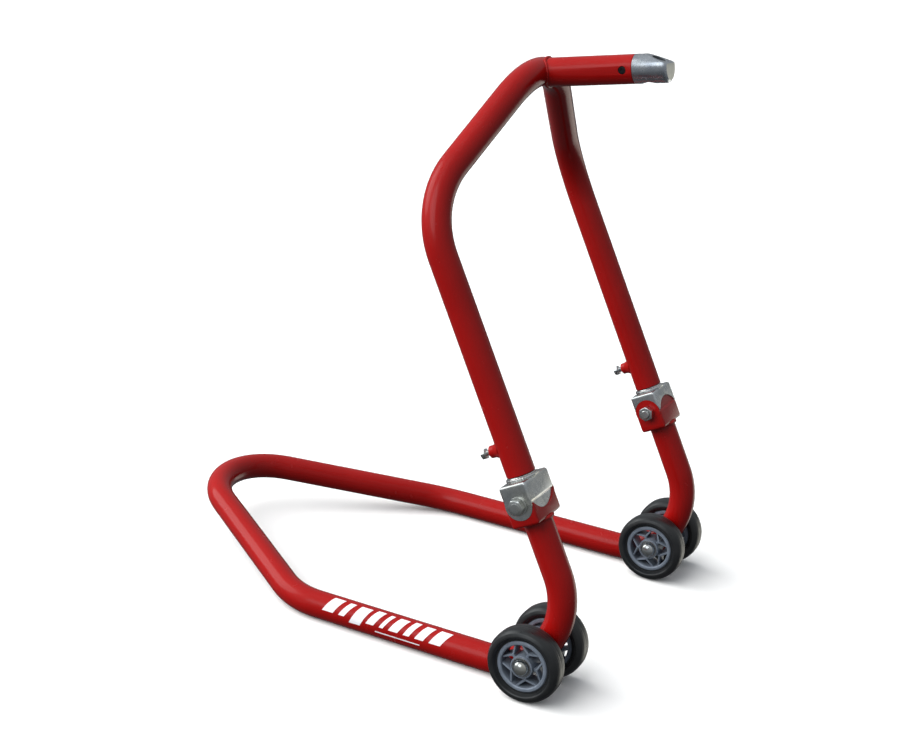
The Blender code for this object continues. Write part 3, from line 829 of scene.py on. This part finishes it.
def cap_mesh():
    """A pressed dome with a small brim, hollow where the axle's end sits."""
    dome_r, dome_h, brim_top = 0.0101, 0.0074, 0.0016
    dome = [(0, brim_top + dome_h, 0)]
    for i in range(1, 10):
        angle = i * math.pi / 20
        dome.append((dome_r * math.sin(angle), brim_top + dome_h * math.cos(angle), 0))
    brim = [(0.0105, 0.0013, 0.0003), (0.0105, 0.0002, 0.0002)]
    hollow = [(AXLE_HOLE_R, 0.0002, 0), (AXLE_HOLE_R, 0.0045, 0), (0, 0.0045, 0)]
    return turned(dome + brim + hollow, 64, closed=False)


def make_wheels():
    """Four wheels, each with its tyre, rim, two bearings, and a cap that stands still."""
    tyre = tyre_mesh()
    rim = rim_mesh()
    bearing = bearing_mesh()
    cap = cap_mesh()
    spoke_angle = {"right_outer": 89, "right_inner": 62, "left_inner": 63, "left_outer": 38}
    for side, sign in SIDES.items():
        for where in ("outer", "inner"):
            label = f"{side}_{where}"
            direction = sign if where == "outer" else -sign
            body = f"wheel_{label}"
            at = wheel_frame(side, direction * WHEEL_OFFSET)
            spun = at @ Matrix.Rotation(math.radians(spoke_angle[label]), 4, "Z")
            piece(f"tread_{label}", tyre, RUBBER, body, f"tyre_{label}", matrix=at, smooth=50)
            piece(f"spokes_{label}", rim, RIM, body, f"rim_{label}", matrix=spun)
            for end, face in (("outside", direction), ("inside", -direction)):
                place = at @ Matrix.Translation((0, 0, (HUB_HALF_W - BEARING_HALF_W) * face))
                piece(f"sealed_bearing_{label}_{end}", bearing, BEARING, body, f"bearing_{label}_{end}",
                      matrix=place)
            flip = Matrix.Rotation(math.pi if direction < 0 else 0.0, 4, "X")
            place = wheel_frame(side, direction * (WHEEL_OFFSET + HUB_HALF_W + GAP)) @ flip
            piece(f"dome_cap_{label}", cap, CAP, "base", f"axle_cap_{label}", matrix=place)


# ---- brackets ----------------------------------------------------------------------------------------


def segment(half_chord, height):
    """Outline of a round-bottomed tab: its chord at zero, running up to its root."""
    steps = 40
    radius = (half_chord ** 2 + height ** 2) / (2 * height)
    half_angle = math.asin(half_chord / radius)
    out = []
    for i in range(steps + 1):
        angle = -half_angle + 2 * half_angle * i / steps
        out.append((radius * math.sin(angle), radius - height - radius * math.cos(angle)))
    return out + [(half_chord, TAB_ROOT), (-half_chord, TAB_ROOT)]


def fold_tool(y, bottom):
    """The tool that rounds the front wall's outer edge at the parting plane."""
    corner = [(y + 0.01, -0.01), (y + 0.01, bottom + FOLD_R)]
    for i in range(9):
        angle = math.pi / 16 * i
        corner.append((y - FOLD_R + FOLD_R * math.cos(angle), bottom + FOLD_R - FOLD_R * math.sin(angle)))
    corner.append((y - FOLD_R, -0.01))
    return skin([[Vector((at, cy, cz)) for cy, cz in corner] for at in (-0.05, 0.05)], caps=True)


def half_bracket():
    """The upper half on the right leg: Z up from the parting plane, X outboard, Y forward.

    past is how far the cutting tools reach beyond the walls.
    """
    x, y, h, t = BRACKET_X, BRACKET_Y, BRACKET_H, PLATE
    bottom = GAP / 2
    past = 0.01

    def upright(a, b):
        return abs(a.z - b.z) > h / 2

    def top(a, b):
        return min(a.z, b.z) > h - 0.0065 and max(a.z, b.z) > h - 1e-5

    shell = block((-x, -y, bottom), (x, y, h), ((upright, CORNER_R), (top, FOLD_R)))
    inside = block((t - x, t - y, -past), (x - t, y - t, h - t), ((upright, 0.0008),))
    stand = Matrix.Rotation(math.pi / 2, 4, "X")
    disc = [(SIDE_TAB_R * math.cos(math.radians(a)), SIDE_TAB_R * math.sin(math.radians(a)))
            for a in range(0, 360, 4)]
    slot = [(px * (1 + GAP / SIDE_TAB_R), py * (1 + GAP / SIDE_TAB_R)) for px, py in disc]
    side_tab = moved(prism(disc, x - t, x), ALONG_X)
    side_notch = moved(prism(slot, -x - past, GAP + t - x), ALONG_X)
    tab = segment(FRONT_TAB_HALF - GAP, FRONT_TAB_H - GAP)
    front_tab = moved(prism(tab, 0, t - TAB_STEP), Matrix.Translation((0, y - TAB_STEP, 0)) @ stand)
    cut = segment(FRONT_TAB_HALF, FRONT_TAB_H)
    flip = Matrix.Rotation(math.pi, 4, "Y")
    back_notch = moved(prism(cut, -0.002, t + 0.002), Matrix.Translation((0, t - y, 0)) @ flip @ stand)
    mesh = carve(shell, ("DIFFERENCE", inside), ("DIFFERENCE", fold_tool(y, bottom)),
                 ("DIFFERENCE", side_notch), ("DIFFERENCE", back_notch),
                 ("UNION", side_tab), ("UNION", front_tab))
    return tidy(mesh)


def collar_mesh():
    """The flared ring of weld metal between the upper bracket and the inner tube."""
    bore = INNER_TUBE_R + 0.0002
    return turned([
        (bore, BRACKET_H - 0.001, 0), (0.0205, BRACKET_H - 0.001, 0), (0.0196, BRACKET_H + 0.0025, 0.001),
        (0.0180, BRACKET_H + 0.0046, 0.001), (bore, COLLAR_TOP, 0),
    ], 72)


def make_brackets():
    """Each side's clamp: two bracket halves, the collar, the bolt's parts and the inner tube."""
    half = half_bracket()
    bolt_hole = moved(rod(BOLT_HOLE_R, -0.05, 0.05), ALONG_X)
    upper = bevelled(carve(half.copy(), ("DIFFERENCE", bolt_hole.copy())), 0.0005)
    lower = moved(half, Matrix.Scale(-1, 4))
    lower = bevelled(carve(lower, ("DIFFERENCE", bolt_hole)), 0.0006)
    collar = collar_mesh()
    foot = Vector((0, 0, BRACKET_H + 0.0010))
    line = ring(foot, Vector((1, 0, 0)), Vector((0, 1, 0)), 0.0190, 120)
    seam = bead(line, COLLAR_BEAD, foot, ripple=0.14)
    for side in SIDES:
        at = leg_frame(side, BRACKET_MID)
        piece(f"bracket_top_{side}", upper, ZINC, "base", f"upper_bracket_{side}", matrix=at, smooth=20)
        piece(f"bracket_bottom_{side}", lower, RED, "base", f"lower_bracket_{side}", matrix=at, smooth=20)
        piece(f"collar_{side}", collar, ZINC, "base", matrix=at)
        piece(f"collar_weld_{side}", seam, ZINC, "base", matrix=at, smooth=60)
        make_fasteners(side, at)
        bottom = BRACKET_MID + BRACKET_H - PLATE
        length = INNER_TUBE_TOP - bottom
        guide = turned([
            (INNER_TUBE_BORE_R, length, 0.0004), (INNER_TUBE_R, length, 0.0006), (INNER_TUBE_R, 0, 0),
            (INNER_TUBE_BORE_R, 0, 0),
        ], 64)
        piece(f"guide_tube_{side}", guide, ZINC, "base", f"inner_tube_{side}", matrix=leg_frame(side, bottom))


def hexagon(flats, low, high, hole=0.0, both=False):
    """A hexagonal head or nut from rings, its corners turned off above, or on both faces."""
    count = 96
    turned_r = flats / 2 * 0.94
    slope = math.tan(math.radians(30))
    edge_drop, edge_inset = 0.00015, 0.00012
    chamfer = 0.0008

    def at(radius, z):
        return ring(Vector((0, 0, z)), Vector((1, 0, 0)), Vector((0, 1, 0)), radius, count)

    def side(z, way, ease):
        points = []
        for i in range(count):
            angle = 2 * math.pi * i / count
            radius = flats / 2 / math.cos(angle % (math.pi / 3) - math.pi / 6)
            drop = max(0.0, (radius - turned_r) * slope) + ease * edge_drop
            radius -= (1 - ease) * edge_inset
            points.append(Vector((radius * math.cos(angle), radius * math.sin(angle), z - way * drop)))
        return points

    rings = [at(turned_r, high), side(high, 1, 0), side(high, 1, 1)]
    rings += [side(low, -1, 1), side(low, -1, 0)] if both else [side(low, 0, 1)]
    rings.append(at(turned_r, low))
    if hole:
        rings += [at(hole + chamfer, low), at(hole, low + chamfer)]
        rings += [at(hole, high - chamfer), at(hole + chamfer, high)]
        return skin(rings, along=True)
    return skin(rings, caps=True)


def thread(radius, low, high, pitch=0.00175):
    """A threaded shank, its grooves cut straight."""
    depth = 0.0008
    profile = [(0, high, 0), (radius - depth, high, 0)]
    z = high - depth
    while z - pitch > low:
        profile += [(radius, z, 0), (radius, z - pitch * 0.25, 0), (radius - depth, z - pitch * 0.6, 0)]
        z -= pitch
    return turned(profile + [(radius, z, 0), (radius, low, 0), (0, low, 0)], 48, closed=False)


def make_fasteners(side, at):
    """The clamp's bolt, washer and nut; the head is outboard."""
    seat = BRACKET_X + GAP
    head_low = seat + WASHER_T + GAP
    head_high = head_low + BOLT_HEAD_T
    head = hexagon(BOLT_FLATS, head_low, head_high)
    raised = turned([
        (0, head_high + 0.0002, 0), (0.0062, head_high + 0.0002, 0.0003),
        (0.0066, head_high - 0.0004, 0), (0, head_high - 0.0004, 0),
    ], 48, closed=False)
    shank = rod(BOLT_R, -seat, head_low + 0.001)
    end = moved(thread(BOLT_R, seat - 0.002, seat + BOLT_STICKS_OUT), Matrix.Rotation(math.pi, 4, "X"))
    bolt = merged(head, raised, shank, end)
    across = at @ ALONG_X
    turn = Matrix.Rotation(math.radians(14), 4, "Z")
    piece(f"bolt_{side}", bolt, ZINC, "base", f"clamp_bolt_{side}", matrix=across @ turn)
    washer = turned([
        (BOLT_HOLE_R, seat + WASHER_T, 0.0002), (WASHER_R, seat + WASHER_T, 0.0005),
        (WASHER_R, seat, 0.0002), (BOLT_HOLE_R, seat, 0.0002),
    ], 64)
    piece(f"washer_{side}", washer, ZINC, "base", f"clamp_washer_{side}", matrix=across)
    nut = hexagon(BOLT_FLATS, -seat - NUT_T, -seat, hole=NUT_HOLE_R, both=True)
    turn = Matrix.Rotation(math.radians(20), 4, "Z")
    piece(f"nut_{side}", nut, ZINC, "base", f"clamp_nut_{side}", matrix=across @ turn)


# ---- upper frame -------------------------------------------------------------------------------------


def make_upper():
    """The bent tube, and the head's straight tube, weld, tip and set screw."""
    path = upper_path()
    piece("frame_tube", pipe(path), RED, "frame", "upper_frame")
    inner = head_frame(HEAD_TUBE_START)
    outer = head_frame(HEAD_TUBE_END)
    tube = pipe([inner.translation, outer.translation])
    hole_r = TIP_SCREW_R + GAP
    hole = turned([(0, 0, 0), (hole_r, 0, 0), (hole_r, -0.03, 0), (0, -0.03, 0)], 48, closed=False)
    at_screw = head_frame(HEAD_TUBE_END + TIP_SCREW_AT)
    tube = carve(tube, ("DIFFERENCE", moved(hole, at_screw @ ALONG_X)))
    piece("lifting_tube", bevelled(tube, 0.0004, angle=50), RED, "frame", "head_tube")
    line = joint_line(head_frame(0.0), TUBE_R, path, 0.06, -0.02, 120)
    centre = sum(line, Vector()) / len(line)
    piece("head_weld", bead(line, HEAD_BEAD, centre, ripple=0.07), RED, "frame", smooth=60)
    make_tip()
    screw_r, socket_r, screw_h = 0.0047, 0.0024, 0.0016
    screw = turned([
        (0, 0, 0), (screw_r, 0, 0.0004), (screw_r, screw_h - 0.0002, 0.0005), (socket_r, screw_h, 0.0002),
        (socket_r, 0.0005, 0), (0, 0.0005, 0),
    ], 48, closed=False)
    out = at_screw @ ALONG_X.inverted() @ Matrix.Translation((0, 0, SPIGOT_R + GAP))
    piece("grub_screw", screw, BLACK, "frame", "head_tip_screw", matrix=out)


def make_tip():
    """The turned tip with its spigot, milled flat and pin bore, each surface in its own steel."""
    at = head_frame(HEAD_TUBE_END)
    end = TIP_LENGTH
    body = turned([
        (0, end, 0), (TUBE_R - 0.0035, end, 0.0005), (TUBE_R - 0.0009, end - 0.0021, 0.0016),
        (TUBE_R, end - 0.0049, 0.002), (TUBE_R, GAP, 0.0004), (SPIGOT_R, GAP, 0),
        (SPIGOT_R, SPIGOT_END + 0.002, 0), (SPIGOT_R - 0.002, SPIGOT_END, 0), (0, SPIGOT_END, 0),
    ], 96, closed=False)
    lean = Matrix.Rotation(PIN_BORE_TILT + HEAD_SLOPE, 4, "X")
    up_y = Matrix.Rotation(-math.pi / 2, 4, "X")
    bore = moved(rod(PIN_BORE_R, -0.04, 0.04, 96), Matrix.Translation((0, 0, PIN_BORE_AT)) @ lean @ up_y)
    above = moved(block((-0.03, 0, 0), (0.03, 0.03, 0.06)),
                  Matrix.Translation((0, TUBE_R, FLAT_START)) @ lean)
    mesh = bevelled(carve(body, ("DIFFERENCE", above), ("DIFFERENCE", bore)), 0.0005, 3, 35)
    tip = piece("lifting_tip", mesh, TIP, "frame", "head_tip", matrix=at, smooth=30)
    tip.data.materials.append(FACE)
    tip.data.materials.append(BORE)
    forward = at.to_3x3() @ Vector((0, 0, 1))
    axis = Vector((0, math.sin(PIN_BORE_TILT), math.cos(PIN_BORE_TILT)))
    middle_of_bore = at @ Vector((0, 0, PIN_BORE_AT))
    for face in tip.data.polygons:
        ahead = (face.center - at.translation).dot(forward)
        out = face.center - middle_of_bore
        out -= axis * out.dot(axis)
        # The end face takes the steel painted paler as a reflection, and the bore takes the steel painted
        # dark as shade.
        if face.normal.dot(forward) > 0.97 and ahead > TIP_LENGTH - 0.002:
            face.material_index = 1
        elif out.length < PIN_BORE_R + 0.0001 and abs(face.normal.dot(axis)) < 0.3:
            face.material_index = 2


def make_locks():
    """The boss behind each leg and the hexagon screw in it."""
    for side in SIDES:
        at = leg_frame(side, LOCK_AT, half_turn=False) @ Matrix.Rotation(math.pi / 2, 4, "X")
        boss = turned([
            (BOSS_BORE_R, BOSS_END, 0.0003), (0.0080, BOSS_END, 0.0008), (0.0084, 0.0235, 0.002),
            (0.0112, 0.0180, 0.002), (0.0125, BOSS_START, 0), (BOSS_BORE_R, BOSS_START, 0),
        ], 64)
        piece(f"boss_{side}", boss, RED, "frame", f"lock_boss_{side}", matrix=at)
        head = hexagon(LOCK_FLATS, 0.0375, LOCK_HEAD_END)
        flange = turned([
            (0, LOCK_FLANGE_END, 0), (LOCK_FLANGE_R, LOCK_FLANGE_END, 0.0002),
            (LOCK_FLANGE_R, LOCK_FLANGE_START, 0.0002), (0, LOCK_FLANGE_START, 0),
        ], 48, closed=False)
        shank = moved(thread(LOCK_SCREW_R, -0.0370, -LOCK_SCREW_TIP, LOCK_PITCH),
                      Matrix.Rotation(math.pi, 4, "X"))
        turn = Matrix.Rotation(math.radians(10), 4, "Z")
        piece(f"locking_screw_{side}", merged(head, flange, shank), ZINC, f"lock_{side}",
              f"lock_screw_{side}", matrix=at @ turn)


# ---- decal -------------------------------------------------------------------------------------------


def patch(y_low, y_high, top, bottom, slant, rows=10, cols=4):
    """A strip of film wrapped on the right arm.

    It lies between two places along Y and two angles in degrees from the tube's top, leaning by slant.
    """
    start = Vector((HALF_TRACK, LOWER_BEND_Y, ARM_FRONT_Z))
    run = Vector((HALF_TRACK, KINK_Y, ARM_REAR_Z)) - start
    run = run / run.y
    grids = []
    for radius in (TUBE_R + 0.00022, TUBE_R - 0.0002):
        grid = []
        for i in range(rows + 1):
            angle = math.radians(top + (bottom - top) * i / rows)
            lean = slant * (0.5 - i / rows)
            line = []
            for j in range(cols + 1):
                y = y_low + (y_high - y_low) * j / cols + lean
                axis = start + run * (y - LOWER_BEND_Y)
                line.append(axis + Vector((math.sin(angle), 0, math.cos(angle))) * radius)
            grid.append(line)
        grids.append(grid)
    rings = []
    for upper, lower in zip(*grids):
        rings.append(upper + lower[::-1])
    return skin(rings, caps=True)


def make_decal():
    """Plain slanted bars of mixed widths, and a thin line below them."""
    widths = (0.017, 0.009, 0.017, 0.012, 0.006, 0.014, 0.009, 0.013, 0.017)
    space = 0.0085
    y = -0.006
    bars = []
    for i, width in enumerate(widths):
        high = 14 if i % 3 else 10
        low = 96 if i == 2 else 78
        bars.append(patch(y, y + width, high, low, 0.012))
        y += width + space
    bars.append(patch(0.072, 0.140, 98, 103, 0.0, rows=2, cols=12))
    piece("plain_decal", merged(*bars), VINYL, "base", smooth=60)


# ---- camera, floor and light -------------------------------------------------------------------------

CAMERA_AT = (1.91583, 0.98039, 0.99546)
YAW = math.radians(26.30)
PITCH = math.radians(17.85)
ROLL = math.radians(-4.60)
FOCAL_LENGTH_MM = 63.05
SENSOR_MM = 36.0
BRIGHT_SIDE = Vector((-0.87, 0.38, -0.31))


def make_camera():
    """The view from the front right and above, with a slight roll."""
    forward = Vector((-math.cos(YAW) * math.cos(PITCH), -math.sin(YAW) * math.cos(PITCH), -math.sin(PITCH)))
    right = forward.cross(Vector((0, 0, 1))).normalized()
    down = forward.cross(right)
    across = right * math.cos(ROLL) + down * math.sin(ROLL)
    below = down * math.cos(ROLL) - right * math.sin(ROLL)
    turn = Matrix((across, -below, -forward)).transposed().to_4x4()
    camera = bpy.data.objects.new("camera", bpy.data.cameras.new("camera"))
    camera.data.lens = FOCAL_LENGTH_MM
    camera.data.sensor_width = SENSOR_MM
    camera.matrix_world = Matrix.Translation(CAMERA_AT) @ turn
    bpy.context.scene.collection.objects.link(camera)
    bpy.context.scene.camera = camera


def make_floor():
    """A wide pale floor that takes soft shadows but adds no light and no reflection of its own."""
    shape = bmesh.new()
    bmesh.ops.create_grid(shape, x_segments=2, y_segments=2, size=80.0)
    mesh = bpy.data.meshes.new("floor")
    shape.to_mesh(mesh)
    shape.free()
    mesh.materials.append(Paint("pale_floor", "", (0.95, 0.95, 0.95), 0.9).mat)
    floor = bpy.data.objects.new("floor", mesh)
    floor.visible_diffuse = False
    floor.visible_glossy = False
    bpy.context.scene.collection.objects.link(floor)


def make_world():
    """Surroundings that grow paler upwards, with one bright soft patch low on the left."""
    world = bpy.data.worlds.new("studio")
    world.use_nodes = True
    nodes = world.node_tree.nodes
    link = world.node_tree.links.new
    place = nodes.new("ShaderNodeTexCoord").outputs["Generated"]

    split = nodes.new("ShaderNodeSeparateXYZ")
    height = nodes.new("ShaderNodeMapRange")
    height.inputs["From Min"].default_value = -1.0
    sky = nodes.new("ShaderNodeValToRGB")
    shades = [(0.0, 0.07), (0.25, 0.12), (0.36, 0.20), (0.52, 0.24), (0.75, 0.36), (1.0, 0.50)]
    while len(sky.color_ramp.elements) < len(shades):
        sky.color_ramp.elements.new(0.5)
    for point, (at, shade) in zip(sky.color_ramp.elements, shades):
        point.position = at
        point.color = (shade * 0.95, shade * 1.0, shade * 1.05, 1.0)
    link(place, split.inputs["Vector"])
    link(split.outputs["Z"], height.inputs["Value"])
    link(height.outputs["Result"], sky.inputs["Fac"])

    toward = nodes.new("ShaderNodeVectorMath")
    toward.operation = "DOT_PRODUCT"
    toward.inputs[1].default_value = BRIGHT_SIDE.normalized()
    fade = nodes.new("ShaderNodeMapRange")
    fade.interpolation_type = "SMOOTHSTEP"
    fade.inputs["From Min"].default_value = 0.925
    fade.inputs["From Max"].default_value = 0.975
    fade.inputs["To Max"].default_value = 0.85
    glow = nodes.new("ShaderNodeMix")
    glow.data_type = "RGBA"
    glow.inputs[7].default_value = (1.45, 1.42, 1.28, 1.0)
    link(place, toward.inputs[0])
    link(toward.outputs["Value"], fade.inputs["Value"])
    link(fade.outputs["Result"], glow.inputs["Factor"])
    link(sky.outputs["Color"], glow.inputs[6])
    link(glow.outputs[2], nodes["Background"].inputs["Color"])
    bpy.context.scene.world = world
    bpy.context.scene.view_settings.view_transform = "Standard"


def lamp(name, direction, spread, strength, colour, mirrored):
    """A far-off soft studio lamp, seen from the stand under an angle of spread degrees.

    mirrored says that shiny surfaces show its reflection.
    """
    data = bpy.data.lights.new(name, "SUN")
    data.angle = math.radians(spread)
    data.energy = strength
    data.color = colour
    obj = bpy.data.objects.new(name, data)
    way = Vector(direction).normalized()
    obj.location = way * 3.0
    obj.visible_glossy = mirrored
    obj.rotation_mode = "QUATERNION"
    obj.rotation_quaternion = way.to_track_quat("Z", "Y")
    bpy.context.scene.collection.objects.link(obj)


# ---- everything --------------------------------------------------------------------------------------

make_base()
make_wheels()
make_brackets()
make_upper()
make_locks()
make_decal()
for axle in ("axle_right", "axle_left"):
    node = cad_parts[axle]
    node.data.materials.clear()
    node.data.materials.append(ZINC)

make_camera()
make_floor()
make_world()
lamp("key", (0.41, -0.63, 0.66), 88.0, 4.6, (1.0, 0.985, 0.96), mirrored=False)
lamp("softbox", (0.79, -0.20, 0.58), 40.0, 0.52, (0.90, 0.96, 1.0), mirrored=True)
lamp("back_panel", (0.20, -0.86, 0.47), 42.0, 0.75, (0.96, 1.0, 1.0), mirrored=True)
